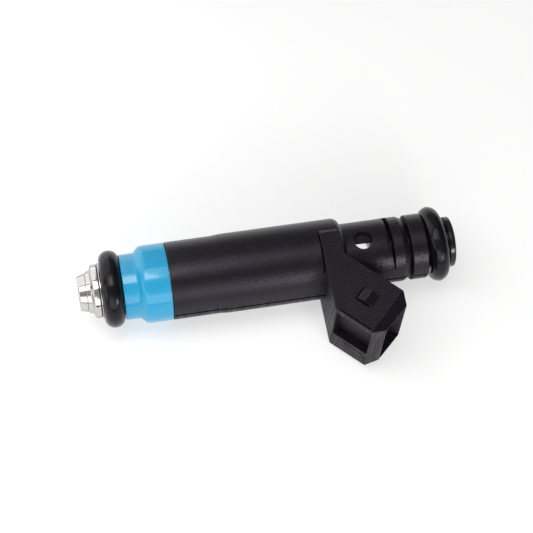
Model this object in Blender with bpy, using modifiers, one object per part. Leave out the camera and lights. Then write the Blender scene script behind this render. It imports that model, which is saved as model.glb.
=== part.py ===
"""Fuel injector with two O-rings, a slanted two-pin connector and a spring-closed
ball valve, modelled as separate pieces.

The pieces are drawn in the injector's own frame: Z runs along the injector's axis
from the nozzle to the rail end, X points out to the connector and Y is sideways.
An empty lays that frame on its side, with the nozzle toward -X and the connector
toward -Y, and stands it on the plane z = 0.
"""
import math

import bmesh
import bpy
from mathutils import Matrix, Vector

MM = 0.001

# ---- driving dimensions, in millimetres -------------------------------------
# stations along the axis are counted so that the lower O-ring is centred on 6
O_RING_LOW = 6.0
O_RING_PITCH = 61.0
O_RING_HIGH = O_RING_LOW + O_RING_PITCH
O_RING_R = 7.065
O_RING_WIRE = 3.5

TIP = -0.05
TIP_R = 3.2
TIP_BASE_R = 3.55
TIP_SHOULDER = 1.45
FLANGE = 2.78
FLANGE_R = 4.97
FLANGE_END = 3.75
WASHER = 3.84
WASHER_T = 0.3
WASHER_R = 5.2
SPIGOT_R = 3.42
SPIGOT_END = 8.36

SLEEVE = 8.04
SLEEVE_LIP = 0.17
SLEEVE_STEP = 10.55
SLEEVE_STEP_END = 12.4
SLEEVE_END = 16.6
SLEEVE_R = 6.07
SLEEVE_R2 = 7.22

BODY = 16.72
BODY_R1 = 7.23
BODY_R2 = 7.375
SHOULDER = 48.05
SHOULDER_END = 49.4
SHAFT_R = 6.1
SHAFT_END = 64.88
SIDE_HOLE = 52.95
SIDE_HOLE_R = 1.68
SLOT = 57.68
SLOT_END = 58.48
SLOT_FLOOR_R = 4.15
SLOT_HALF_ANGLE = 63.0
GROOVE_RAMP = 60.3
GROOVE = 61.38
GROOVE_END = 61.84
GROOVE_R = 4.3
GROOVE_LIP_R = 5.62

CAP = 69.08
CAP_END = 70.25
CAP_R = 4.66
CAP_BORE_R = 3.02

# connector, measured along its own slanted axis
SLANT = math.radians(45.0)
NECK_BACK = 44.97
NECK_TOP = -2.1
KNEE = 13.8
CONN_LEN = 7.89
CONN_HIGH = 10.3
CONN_HALF = 7.45
RIM_LEN = 1.61
RIM_IN_SIDE = 0.82
SIDE_TAPER_LEAD = 0.15
RIM_IN_TOP = 1.43
RIM_IN_BOTTOM = 2.08
RIM_WALL = 0.22
MOUTH_LEAN = 0.36
SOCKET_BACK = -0.8
PIN_TIP = 4.5
PIN_PITCH = 5.0
PIN_W = 2.8
PIN_T = 0.8
LUG_START = 1.8
LUG_RIDGE = 3.55
LUG_END = 5.0
LUG_MID = -5.37
LUG_W = 2.61
LUG_H = 1.08
POCKET = (0.28, 7.7)
POCKET_SIDE = (-6.15, 2.5)
POCKET_DEEP = 1.7

# inside
BORE_COIL_R = 6.37
BORE_COIL_END = 36.6
BORE_TUBE_R = 3.56
TUBE_R = 3.45
TUBE_LOW = 21.1
TUBE_END = 68.7
COLLAR = (50.7, 55.2)
COLLAR_R = 4.75
CLEAR = 0.1
LIFT = 0.1

STEPS_OUT = 40
STEPS_IN = 20


# ---- scene ------------------------------------------------------------------
for old in list(bpy.data.objects):
    bpy.data.objects.remove(old, do_unlink=True)

parts = bpy.data.collections.new("fuel_injector")
tools = bpy.data.collections.new("cutters")
bpy.context.scene.collection.children.link(parts)
bpy.context.scene.collection.children.link(tools)

frame = bpy.data.objects.new("injector_axis", None)
parts.objects.link(frame)


def material(name, colour, rough, metal):
    m = bpy.data.materials.new(name)
    m.use_nodes = True
    b = m.node_tree.nodes["Principled BSDF"]
    b.inputs["Base Color"].default_value = (*colour, 1.0)
    b.inputs["Roughness"].default_value = rough
    b.inputs["Metallic"].default_value = metal
    return m


BLACK = ((0.026, 0.025, 0.031), 0.55, 0.0)
GLOSS = ((0.02, 0.02, 0.023), 0.25, 0.0)
BLUE = ((0.045, 0.413, 0.716), 0.25, 0.0)
RUBBER = ((0.021, 0.021, 0.025), 0.6, 0.0)
STEEL = ((0.62, 0.61, 0.59), 0.22, 1.0)
IRON = ((0.42, 0.41, 0.40), 0.35, 1.0)
COPPER = ((0.62, 0.25, 0.10), 0.35, 1.0)
TIN = ((0.66, 0.64, 0.58), 0.3, 1.0)
NATURAL = ((0.62, 0.58, 0.47), 0.5, 0.0)
MESH = ((0.72, 0.70, 0.62), 0.7, 0.0)


# ---- helpers ----------------------------------------------------------------
def adopt(obj, look=None, tool=False):
    """Put an object in its collection, under the axis empty."""
    (tools if tool else parts).objects.link(obj)
    obj.parent = frame
    if tool:
        obj.hide_render = True
        obj.display_type = 'WIRE'
    elif look:
        obj.data.materials.append(material(obj.name, *look))
    return obj


def area(pts):
    return 0.5 * sum(a[0] * b[1] - b[0] * a[1]
                     for a, b in zip(pts, pts[1:] + pts[:1]))


def turned(name, pts, look=None, steps=STEPS_IN, ring=True, tool=False):
    """A solid of revolution about Z from (radius, station) points in mm."""
    pts = list(pts)
    if ring and area(pts) > 0:
        pts.reverse()
    me = bpy.data.meshes.new(name)
    n = len(pts)
    edges = [(i, i + 1) for i in range(n - 1)] + ([(n - 1, 0)] if ring else [])
    me.from_pydata([(r * MM, 0.0, u * MM) for r, u in pts], edges, [])
    obj = adopt(bpy.data.objects.new(name, me), look, tool)
    s = obj.modifiers.new("Screw", 'SCREW')
    s.axis = 'Z'
    s.angle = 2.0 * math.pi
    s.steps = steps
    s.render_steps = steps
    s.use_merge_vertices = True
    s.merge_threshold = 1e-6
    s.use_smooth_shade = True
    return obj


def tube(name, r_in, r_out, low, high, look=None, steps=STEPS_IN, tool=False):
    return turned(name, [(r_out, high), (r_out, low), (r_in, low), (r_in, high)],
                  look, steps, True, tool)


def arc(cr, cu, rad, a0, a1, n):
    """Points on an arc in the (radius, station) plane, angles in degrees."""
    return [(cr + rad * math.cos(math.radians(a0 + (a1 - a0) * i / n)),
             cu + rad * math.sin(math.radians(a0 + (a1 - a0) * i / n)))
            for i in range(n + 1)]


def outline(name, pts, place, low, high, look=None, tool=False):
    """A flat outline in the placed XY plane, from depth low to high (mm)."""
    cu = bpy.data.curves.new(name + "_line", 'CURVE')
    cu.dimensions = '2D'
    cu.fill_mode = 'BOTH'
    cu.extrude = 0.5 * (high - low) * MM
    sp = cu.splines.new('POLY')
    sp.points.add(len(pts) - 1)
    for p, (x, y) in zip(sp.points, pts):
        p.co = (x * MM, y * MM, 0.0, 1.0)
    sp.use_cyclic_u = True
    guide = bpy.data.objects.new(name + "_line", cu)
    tools.objects.link(guide)
    bpy.context.view_layer.update()
    deps = bpy.context.evaluated_depsgraph_get()
    me = bpy.data.meshes.new_from_object(guide.evaluated_get(deps))
    bpy.data.objects.remove(guide, do_unlink=True)
    bpy.data.curves.remove(cu)
    me.name = name
    bm = bmesh.new()
    bm.from_mesh(me)
    bmesh.ops.remove_doubles(bm, verts=bm.verts, dist=1e-7)
    bmesh.ops.transform(bm, verts=bm.verts,
                        matrix=place @ Matrix.Translation((0, 0, 0.5 * (low + high) * MM)))
    bmesh.ops.recalc_face_normals(bm, faces=bm.faces)
    bm.to_mesh(me)
    bm.free()
    return adopt(bpy.data.objects.new(name, me), look, tool)


def rod(name, rad, p0, p1, sides=24, phase=0.0):
    """A straight round cutter between two points, in mm, its facets turned by phase."""
    a, b = Vector(p0) * MM, Vector(p1) * MM
    bm = bmesh.new()
    bmesh.ops.create_cone(bm, cap_ends=True, segments=sides, radius1=rad * MM,
                          radius2=rad * MM, depth=(b - a).length)
    turn = ((b - a).to_track_quat('Z', 'Y').to_matrix().to_4x4()
            @ Matrix.Rotation(math.radians(phase), 4, 'Z'))
    bmesh.ops.transform(bm, verts=bm.verts,
                        matrix=Matrix.Translation((a + b) / 2) @ turn)
    me = bpy.data.meshes.new(name)
    bm.to_mesh(me)
    bm.free()
    return adopt(bpy.data.objects.new(name, me), None, True)


def boolean(obj, other, how):
    m = obj.modifiers.new(how.lower() + "_" + other.name, 'BOOLEAN')
    m.operation = how
    m.object = other
    m.solver = 'EXACT'


def cut(obj, other):
    boolean(obj, other, 'DIFFERENCE')


def join(obj, other):
    boolean(obj, other, 'UNION')


# planes that outlines are drawn in: side elevation (station, connector side)
ELEVATION = Matrix(((0, 1, 0, 0), (0, 0, 1, 0), (1, 0, 0, 0), (0, 0, 0, 1)))
# looking down the axis: x is the connector side, y is sideways
PLAN = Matrix.Identity(4)

C = Vector((math.cos(SLANT), math.sin(SLANT)))
N = Vector((-math.sin(SLANT), math.cos(SLANT)))
K = Vector((NECK_BACK, KNEE))


def conn(c, n):
    """(station, connector side) of a point given along and across the connector."""
    p = K + C * c + N * n
    return (p.x, p.y)


# plan of the connector: x runs along it from the knee, y is sideways, z is up from
# its underside toward the rail side
ALONG = Matrix(((C.y, 0, -N.y, K.y * MM), (0, 1, 0, 0), (C.x, 0, -N.x, K.x * MM), (0, 0, 0, 1)))


# ---- moulded body with its connector ----------------------------------------
body = turned("overmold_body", (
    [(0.0, SHAFT_END)]
    + arc(SHAFT_R - 0.45, SHAFT_END - 0.45, 0.45, 90, 0, 3)
    + arc(SHAFT_R - 0.14, GROOVE_END + 0.14, 0.14, 0, -90, 2)
    + [(GROOVE_R, GROOVE_END), (GROOVE_R, GROOVE), (GROOVE_LIP_R, GROOVE - 0.06),
       (SHAFT_R - 0.06, GROOVE_RAMP + 0.12), (SHAFT_R, GROOVE_RAMP - 0.2), (SHAFT_R, SHOULDER_END)]
    + [(SHAFT_R + 0.02 + (BODY_R2 - SHAFT_R - 0.02) * math.sin(math.pi / 2 * i / 5),
        SHOULDER + (SHOULDER_END - SHOULDER) * math.cos(math.pi / 2 * i / 5)) for i in range(6)]
    + [(BODY_R2, 45.0), (BODY_R2, 27.0), (BODY_R1, 25.5),
       (BODY_R1, BODY + 0.2), (BODY_R1 - 0.2, BODY), (0.0, BODY)]),
    BLACK, STEPS_OUT, False)

mouth = CONN_LEN + RIM_LEN
neck = outline("neck_block", [
    (NECK_BACK, NECK_TOP), (48.32, NECK_TOP), (48.62, NECK_TOP + 0.7),
    (48.76, 2.86), conn(mouth + MOUTH_LEAN, -CONN_HIGH), conn(mouth - 0.08, 0.0), conn(0.0, 0.0)],
    ELEVATION, -CONN_HALF, CONN_HALF, None, True)

# the mouth's end tapers on all four sides
low_far = (mouth + RIM_LEN, -2 * RIM_IN_BOTTOM)
taper_low = outline("taper_low", [
    conn(CONN_LEN - RIM_LEN, RIM_IN_BOTTOM), conn(*low_far), conn(low_far[0], 6.0),
    conn(CONN_LEN - RIM_LEN, 6.0)], ELEVATION, -12, 12, None, True)
taper_top = outline("taper_top", [
    conn(CONN_LEN - RIM_LEN, -CONN_HIGH - RIM_IN_TOP),
    conn(mouth + RIM_LEN, -CONN_HIGH + 2 * RIM_IN_TOP),
    conn(mouth + RIM_LEN, -CONN_HIGH - 6.0),
    conn(CONN_LEN - RIM_LEN, -CONN_HIGH - 6.0)], ELEVATION, -12, 12, None, True)
tapers = [taper_low, taper_top]
for side, tag in ((-1, "near"), (1, "far")):
    start = CONN_LEN - SIDE_TAPER_LEAD
    fall = RIM_IN_SIDE / (mouth - start)
    tapers.append(outline("taper_" + tag, [
        (start - 1.0, side * (CONN_HALF + fall)),
        (mouth + 1.0, side * (CONN_HALF - RIM_IN_SIDE - fall)),
        (mouth + 1.0, side * (CONN_HALF + 4.0)),
        (start - 1.0, side * (CONN_HALF + 4.0))], ALONG, -6, 18, None, True))

# roof-shaped latch lugs, their slopes carried a little way into the side plates
lugs = []
sink = 0.3
for side, tag in ((-1, "near"), (1, "far")):
    up = (LUG_RIDGE - LUG_START) / LUG_H
    down = (LUG_END - LUG_RIDGE) / LUG_H
    lugs.append(outline("latch_lug_" + tag, [
        (LUG_START - sink * up, side * (CONN_HALF - sink)),
        (LUG_RIDGE, side * (CONN_HALF + LUG_H)),
        (LUG_END + sink * down, side * (CONN_HALF - sink))],
        ALONG, -LUG_MID - LUG_W / 2, -LUG_MID + LUG_W / 2, None, True))

core = turned("bore_core", [
    (0.0, SHAFT_END + 2), (BORE_TUBE_R, SHAFT_END + 2), (BORE_TUBE_R, COLLAR[1] + CLEAR),
    (COLLAR_R + CLEAR, COLLAR[1] + CLEAR), (COLLAR_R + CLEAR, COLLAR[0] - CLEAR),
    (BORE_TUBE_R, COLLAR[0] - CLEAR), (BORE_TUBE_R, BORE_COIL_END),
    (BORE_COIL_R, BORE_COIL_END), (BORE_COIL_R, BODY - 2),
    (0.0, BODY - 2)], None, STEPS_OUT, False, True)

socket_top = -CONN_HIGH + RIM_IN_TOP + RIM_WALL
socket_low = -RIM_IN_BOTTOM - RIM_WALL
socket_half = CONN_HALF - RIM_IN_SIDE - RIM_WALL
socket = outline("connector_socket", [
    conn(SOCKET_BACK, socket_top), conn(CONN_LEN + RIM_LEN + 2, socket_top),
    conn(CONN_LEN + RIM_LEN + 2, socket_low), conn(SOCKET_BACK, socket_low)],
    ELEVATION, -socket_half, socket_half, None, True)
pocket = outline("underside_pocket", [
    conn(POCKET[0], -POCKET_DEEP), conn(POCKET[1], -POCKET_DEEP),
    conn(POCKET[1], 2.0), conn(POCKET[0], 2.0)],
    ELEVATION, POCKET_SIDE[0], POCKET_SIDE[1], None, True)
hole = rod("side_hole", SIDE_HOLE_R, (0, -9, SIDE_HOLE), (0, 9, SIDE_HOLE), 24, 3.0)


def slot_outline(side):
    """Sector of a ring: the clip slot on one side of the shaft."""
    a = math.radians(SLOT_HALF_ANGLE)
    n = 12
    inner = [(SLOT_FLOOR_R * math.sin(-a + 2 * a * i / n),
              side * SLOT_FLOOR_R * math.cos(-a + 2 * a * i / n)) for i in range(n + 1)]
    reach = 9.0 * math.sin(a)
    return inner + [(reach, side * 9.0 * math.cos(a)), (reach, side * 9.0),
                    (-reach, side * 9.0), (-reach, side * 9.0 * math.cos(a))]


slots = [outline("clip_slot_" + tag, slot_outline(side), PLAN, SLOT, SLOT_END, None, True)
         for side, tag in ((-1, "near"), (1, "far"))]


# ---- terminals: a lead beside the coil, a bend and a blade in the socket -----
pin_n = 0.5 * (socket_top + socket_low)
lead_p = 4.8
rise_u = 46.1
line_at = Vector(conn(0.0, pin_n))
tip = Vector(conn(PIN_TIP, pin_n))
foot = line_at + C * ((rise_u - line_at.x) / C.x)


def strip(half, start, over):
    """Outline of a strip of given half thickness along the terminal's bent path."""
    way = [Vector((start, lead_p)), Vector((rise_u, lead_p)), foot, tip + C * over]
    heads = [(b - a).normalized() for a, b in zip(way, way[1:])]
    left, right = [], []
    for i, p in enumerate(way):
        d0, d1 = heads[max(i - 1, 0)], heads[min(i, len(heads) - 1)]
        n0, n1 = Vector((-d0.y, d0.x)), Vector((-d1.y, d1.x))
        mitre = (n0 + n1) * (half / (1.0 + n0.dot(n1)))
        left.append(tuple(p + mitre))
        right.append(tuple(p - mitre))
    return right + left[::-1]


for side, tag in ((-1, "near"), (1, "far")):
    mid = side * PIN_PITCH / 2
    outline("terminal_" + tag, strip(PIN_T / 2, 34.3, 0.0), ELEVATION,
            mid - PIN_W / 2, mid + PIN_W / 2, TIN)

channels = [outline("terminal_channel_" + tag,
                    strip(PIN_T / 2 + CLEAR, 34.0, 0.5), ELEVATION,
                    side * PIN_PITCH / 2 - PIN_W / 2 - CLEAR,
                    side * PIN_PITCH / 2 + PIN_W / 2 + CLEAR, None, True)
            for side, tag in ((-1, "near"), (1, "far"))]

for tool in tapers:
    cut(neck, tool)
for lug in lugs:
    join(neck, lug)
join(body, neck)
for tool in [core, socket, pocket] + channels + slots + [hole]:
    cut(body, tool)

# ---- outside pieces ---------------------------------------------------------
# the step turns out sharply, then rounds off slowly to the full radius
s_curve = [(SLEEVE_R + (SLEEVE_R2 - SLEEVE_R) * 0.5 * (1 - math.cos(math.pi * i / 7)),
            SLEEVE_STEP + (SLEEVE_STEP_END - SLEEVE_STEP) * (i / 7) ** 1.2) for i in range(8)]
turned("nozzle_sleeve", (
    [(BORE_COIL_R, SLEEVE_END), (SLEEVE_R2 - 0.15, SLEEVE_END), (SLEEVE_R2, SLEEVE_END - 0.15)]
    + s_curve[::-1]
    + [(SLEEVE_R, SLEEVE + 0.2), (SLEEVE_R - 0.2, SLEEVE),
       (SPIGOT_R + CLEAR, SLEEVE), (SPIGOT_R + CLEAR, SLEEVE + SLEEVE_LIP),
       (4.6, SLEEVE + SLEEVE_LIP), (4.6, 12.5), (BORE_COIL_R, 12.5)]), BLUE, STEPS_OUT)

wire_r = O_RING_WIRE / 2
for tag, at in (("lower_o_ring", O_RING_LOW), ("upper_o_ring", O_RING_HIGH)):
    loop = arc(O_RING_R - wire_r, at, wire_r, 90, -270, 12)[:-1]
    turned(tag, loop, RUBBER, STEPS_OUT)

tube("o_ring_washer", SPIGOT_R + CLEAR, WASHER_R, WASHER, WASHER + WASHER_T, STEEL, STEPS_OUT)

turned("filter_cap", (
    [(CAP_BORE_R, CAP_END - 0.25), (CAP_BORE_R + 0.25, CAP_END)]
    + arc(CAP_R - 0.4, CAP_END - 0.4, 0.4, 90, 0, 3)
    + [(CAP_R, CAP), (4.0, CAP), (4.0, CAP - 0.55), (TUBE_R + CLEAR, CAP - 0.55),
       (TUBE_R + CLEAR, CAP), (CAP_BORE_R, CAP)]), GLOSS, STEPS_OUT)

# ---- fuel path --------------------------------------------------------------
turned("inlet_tube", [
    (3.1, TUBE_END), (TUBE_R, TUBE_END), (TUBE_R, COLLAR[1]), (COLLAR_R, COLLAR[1]),
    (COLLAR_R, COLLAR[0]), (TUBE_R, COLLAR[0]), (TUBE_R, TUBE_LOW), (1.75, TUBE_LOW),
    (1.75, 47.6), (3.1, 48.4)], STEEL, STEPS_IN)

frame_r = 2.98
cage = turned("filter_frame", [
    (0.0, 50.9), (2.55, 50.9), (2.55, 62.0), (frame_r, 62.0), (frame_r, 50.0), (0.0, 50.0)],
    NATURAL, STEPS_IN, False)
for k in range(2):
    d = math.radians(90 * k)
    windows = outline("filter_window_%d" % k, [
        (-1.25, -4.0), (1.25, -4.0), (1.25, 4.0), (-1.25, 4.0)],
        Matrix.Rotation(d, 4, 'Z'), 52.2, 60.2, None, True)
    cut(cage, windows)
tube("filter_mesh", 2.32, 2.46, 51.2, 61.4, MESH, STEPS_IN)

sleeve = tube("calibration_sleeve", 1.0, 1.65, 34.2, 44.5, STEEL, 20)
cut(sleeve, outline("calibration_split", [(0.2, -0.15), (3, -0.15), (3, 0.15), (0.2, 0.15)],
                    PLAN, 33.0, 46.0, None, True))

# ---- magnetic circuit -------------------------------------------------------
can = turned("coil_can", [
    (5.98, 36.2), (6.27, 36.2), (6.27, 12.65), (4.57, 12.65), (4.57, 13.9), (5.98, 13.9)],
    IRON, STEPS_OUT)
turned("coil_bobbin", [
    (4.62, 34.0), (5.88, 34.0), (5.88, 33.1), (5.05, 33.1), (5.05, 15.0),
    (5.88, 15.0), (5.88, 14.1), (4.62, 14.1)], NATURAL, STEPS_IN)
tube("coil_winding", 5.16, 5.72, 15.12, 32.98, COPPER, STEPS_IN)
yoke = tube("flux_washer", TUBE_R + CLEAR, 5.88, 34.15, 36.1, IRON, STEPS_IN)
gap = outline("flux_gap", [(4.2, -4.3), (8, -4.3), (8, 4.3), (4.2, 4.3)],
              PLAN, 33.6, 37.0, None, True)
cut(yoke, gap)
cut(can, gap)
tube("nonmagnetic_shell", TUBE_R + CLEAR, 4.42, 20.75, 26.0, STEEL, STEPS_IN)

# ---- valve ------------------------------------------------------------------
turned("valve_body", (
    [(3.07, 20.6), (4.42, 20.6), (4.42, SPIGOT_END), (SPIGOT_R, SPIGOT_END), (SPIGOT_R, FLANGE_END),
     (FLANGE_R - 0.15, FLANGE_END), (FLANGE_R, FLANGE_END - 0.15), (FLANGE_R, FLANGE),
     (FLANGE_R - 0.16, FLANGE - 0.2), (3.98, 2.38), (3.88, 2.1), (3.78, TIP_SHOULDER + 0.1),
     (TIP_BASE_R - 0.1, TIP_SHOULDER + 0.05), (TIP_BASE_R, TIP_SHOULDER - 0.06)]
    + [(TIP_R + 0.06, TIP + 0.25), (TIP_R - 0.2, TIP), (2.2, TIP), (2.2, 14.2), (3.07, 14.6)]),
    STEEL, STEPS_OUT)

ball_r = 1.25
ball_u = 3.5
seat_gap = 0.03
apex = ball_u - (ball_r + seat_gap) / math.sin(math.radians(45))
turned("valve_seat", [
    (0.5, apex + 0.5), (3.3 - apex, 3.3), (2.1, 3.3), (2.1, 1.2), (0.5, 1.2)], STEEL, STEPS_IN)
plate = turned("orifice_plate", [(0.0, 1.1), (2.1, 1.1), (2.1, 0.75), (0.0, 0.75)],
               STEEL, STEPS_IN, False)
for k in range(4):
    a = math.radians(45 + 90 * k)
    x, y = 0.3 * math.cos(a), 0.3 * math.sin(a)
    cut(plate, rod("orifice_%d" % k, 0.13, (x, y, 0.3), (x, y, 1.6), 10))
tube("backup_ring", 1.2, 2.1, 0.2, 0.65, STEEL, STEPS_IN)
guide = tube("needle_guide", ball_r + 0.07, 2.1, 3.42, 4.0, STEEL, STEPS_IN)
for k in range(5):
    a = math.radians(72 * k)
    x, y = 1.72 * math.cos(a), 1.72 * math.sin(a)
    cut(guide, rod("flow_hole_%d" % k, 0.26, (x, y, 3.0), (x, y, 4.5), 10))

# the lifting needle: ball, tube and armature
turned("valve_ball", [(ball_r * math.sin(math.pi * i / 10), ball_u + ball_r * math.cos(math.pi * i / 10))
                      for i in range(11)], STEEL, STEPS_IN, False)
needle = tube("needle_tube", 0.65, 1.05, 4.62, 16.6, STEEL, 20)
cut(needle, rod("needle_outlet", 0.32, (-3, 0, 6.2), (3, 0, 6.2), 12))
turned("armature", [
    (1.72, 20.9), (3.0, 20.9), (3.0, 15.0), (1.13, 15.0), (1.13, 16.7),
    (0.6, 16.7), (0.6, 18.8), (1.72, 18.8)], IRON, STEPS_IN)

# return spring between the armature's pocket and the calibration sleeve
turns, per_turn = 9, 10
spring_r, spring_wire = 1.32, 0.2
low, high = 18.8 + spring_wire + 0.06, 34.2 - spring_wire - 0.06
coil = bpy.data.curves.new("return_spring", 'CURVE')
coil.dimensions = '3D'
coil.bevel_depth = spring_wire * MM
coil.bevel_resolution = 1
coil.use_fill_caps = True
path = coil.splines.new('POLY')
count = turns * per_turn + 1
path.points.add(count - 1)
for i in range(count):
    t = i / (count - 1)
    a = 2 * math.pi * turns * t
    dead = 1.2 / turns
    lift = min(max((t - dead) / (1 - 2 * dead), 0.0), 1.0)
    end_rise = 2.2 * spring_wire
    rise = (end_rise * min(t, dead) / dead
            + (high - low - 2 * end_rise) * lift
            + end_rise * max(t - 1 + dead, 0.0) / dead)
    path.points[i].co = (spring_r * math.cos(a) * MM, spring_r * math.sin(a) * MM,
                         (low + rise) * MM, 1.0)
spring = adopt(bpy.data.objects.new("return_spring", coil), STEEL)

# ---- stand the injector on the plane z = 0, on its side ----------------------
# it rests on the neck's far edge and on the far latch lug
lug_low = conn(LUG_RIDGE, LUG_MID - LUG_W / 2)[1]
rest_roll = math.atan(LUG_H / (lug_low - NECK_TOP))
lay = Matrix(((0, 0, 1, 0), (-1, 0, 0, 0), (0, -1, 0, 0), (0, 0, 0, 1)))
turn = Matrix.Rotation(-rest_roll, 4, 'X')
frame.matrix_world = turn @ lay
bpy.context.view_layer.update()

deps = bpy.context.evaluated_depsgraph_get()
lo, hi = Vector((9, 9, 9)), Vector((-9, -9, -9))
for obj in parts.objects:
    if obj.type == 'EMPTY':
        continue
    ev = obj.evaluated_get(deps)
    me = ev.to_mesh()
    for v in me.vertices:
        w = ev.matrix_world @ v.co
        lo = Vector(map(min, lo, w))
        hi = Vector(map(max, hi, w))
    ev.to_mesh_clear()
shift = Vector((-(lo.x + hi.x) / 2, -(lo.y + hi.y) / 2, -lo.z))
frame.matrix_world = Matrix.Translation(shift) @ turn @ lay
bpy.context.view_layer.update()

for obj in parts.objects:
    if obj.type == 'MESH':
        obj.data.shade_smooth()
        obj.data.set_sharp_from_angle(angle=math.radians(35))
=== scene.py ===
"""Finished surfaces for the fuel injector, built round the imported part.

Shapes are drawn in millimetres in the injector's own frame: Z runs along its axis
from the nozzle to the rail end, X points out to the connector and Y is sideways,
with the camera on the -Y side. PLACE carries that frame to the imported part's.
"""

import math

import bmesh
import bpy
from mathutils import Matrix, Vector


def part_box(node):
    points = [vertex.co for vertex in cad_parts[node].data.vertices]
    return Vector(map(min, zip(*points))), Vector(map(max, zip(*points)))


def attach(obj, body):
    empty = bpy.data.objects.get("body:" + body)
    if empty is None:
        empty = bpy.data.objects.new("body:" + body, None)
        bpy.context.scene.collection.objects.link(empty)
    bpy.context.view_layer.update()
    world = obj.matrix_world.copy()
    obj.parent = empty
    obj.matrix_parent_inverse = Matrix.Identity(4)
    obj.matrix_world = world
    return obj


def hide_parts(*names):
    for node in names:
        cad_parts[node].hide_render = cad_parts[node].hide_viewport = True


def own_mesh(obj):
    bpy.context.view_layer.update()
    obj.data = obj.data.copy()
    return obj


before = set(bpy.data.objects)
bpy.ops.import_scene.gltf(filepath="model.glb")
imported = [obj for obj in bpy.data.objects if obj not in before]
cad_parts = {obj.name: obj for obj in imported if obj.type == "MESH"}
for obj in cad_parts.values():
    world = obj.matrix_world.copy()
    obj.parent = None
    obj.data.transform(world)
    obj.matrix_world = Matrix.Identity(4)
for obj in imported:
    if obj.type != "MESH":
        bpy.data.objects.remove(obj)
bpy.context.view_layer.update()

MM = 0.001
pi = math.pi

# ---- dimensions, as in the part -------------------------------------------------
O_LOW, O_HIGH, O_R, O_WIRE = 6.0, 67.0, 7.065, 3.5
BODY, BODY_R1, BODY_R2 = 16.72, 7.23, 7.375
SHOULDER, SHOULDER_END, SHAFT_R, SHAFT_END = 48.05, 49.4, 6.1, 64.88
HOLE_U, HOLE_P, HOLE_R, HOLE_SHELF = 52.95, 0.12, 1.76, 0.0
SLANT = math.radians(45.0)
NECK_BACK, NECK_TOP, KNEE = 44.97, -2.1, 13.8
CONN_LEN, CONN_HIGH, CONN_HALF, RIM_LEN = 7.89, 10.3, 7.45, 1.61
RIM_SIDE, RIM_TOP, RIM_BOTTOM, RIM_WALL = 0.82, 1.43, 2.08, 0.22
SOCKET_BACK = -0.8
LUG_START, LUG_RIDGE, LUG_END, LUG_MID, LUG_W, LUG_H = 1.8, 3.55, 5.0, -5.37, 2.61, 1.08
MOUTH = CONN_LEN + RIM_LEN

C = Vector((math.cos(SLANT), math.sin(SLANT)))
N = Vector((-math.sin(SLANT), math.cos(SLANT)))
K = Vector((NECK_BACK, KNEE))


def conn(c, n):
    """(station, connector side) of a point given along and across the connector."""
    p = K + C * c + N * n
    return (p.x, p.y)


# ---- the injector's frame in the part's frame -------------------------------------
lug_low = conn(LUG_RIDGE, LUG_MID - LUG_W / 2)[1]
ROLL = math.atan(LUG_H / (lug_low - NECK_TOP))
ca, sa = math.cos(ROLL), math.sin(ROLL)
ring_lo, ring_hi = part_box("lower_o_ring")
AXIS = (Vector(ring_lo) + Vector(ring_hi)) / 2 - Vector((O_LOW * MM, 0, 0))
PLACE = Matrix(((0, 0, MM, AXIS.x),
                (-ca * MM, -sa * MM, 0, AXIS.y),
                (sa * MM, -ca * MM, 0, AXIS.z),
                (0, 0, 0, 1)))


# ---- shape helpers ----------------------------------------------------------------
def fillet(pts, ring=True, n=5):
    """Path with its corners rounded. Each point is (x, y) or (x, y, radius)."""
    out = []
    m = len(pts)
    for i, pt in enumerate(pts):
        P = Vector(pt[:2])
        rad = pt[2] if len(pt) > 2 else 0.0
        if rad <= 0 or (not ring and i in (0, m - 1)):
            out.append(tuple(P))
            continue
        A, B = Vector(pts[i - 1][:2]), Vector(pts[(i + 1) % m][:2])
        d1, d2 = (A - P), (B - P)
        l1, l2 = d1.length, d2.length
        d1.normalize()
        d2.normalize()
        half = 0.5 * math.acos(max(-1.0, min(1.0, d1.dot(d2))))
        if half > pi / 2 - 0.01:
            out.append(tuple(P))
            continue
        t = min(rad / math.tan(half), 0.49 * l1, 0.49 * l2)
        r = t * math.tan(half)
        mid = P + (d1 + d2).normalized() * (r / math.sin(half))
        s, e = P + d1 * t - mid, P + d2 * t - mid
        turn = math.atan2(s.x * e.y - s.y * e.x, s.dot(e))
        for k in range(n + 1):
            a = turn * k / n
            out.append((mid.x + s.x * math.cos(a) - s.y * math.sin(a),
                        mid.y + s.x * math.sin(a) + s.y * math.cos(a)))
    return out


def arc(cx, cy, rad, a0, a1, n):
    return [(cx + rad * math.cos(math.radians(a0 + (a1 - a0) * i / n)),
             cy + rad * math.sin(math.radians(a0 + (a1 - a0) * i / n))) for i in range(n + 1)]


def even(n, extra=()):
    """n even angles round a turn, and any extra ones, in order."""
    got = [2 * pi * i / n for i in range(n)]
    for e in extra:
        e %= 2 * pi
        if all(min(abs(e - g), 2 * pi - abs(e - g)) > 1e-4 for g in got):
            got.append(e)
    return sorted(got)


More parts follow.
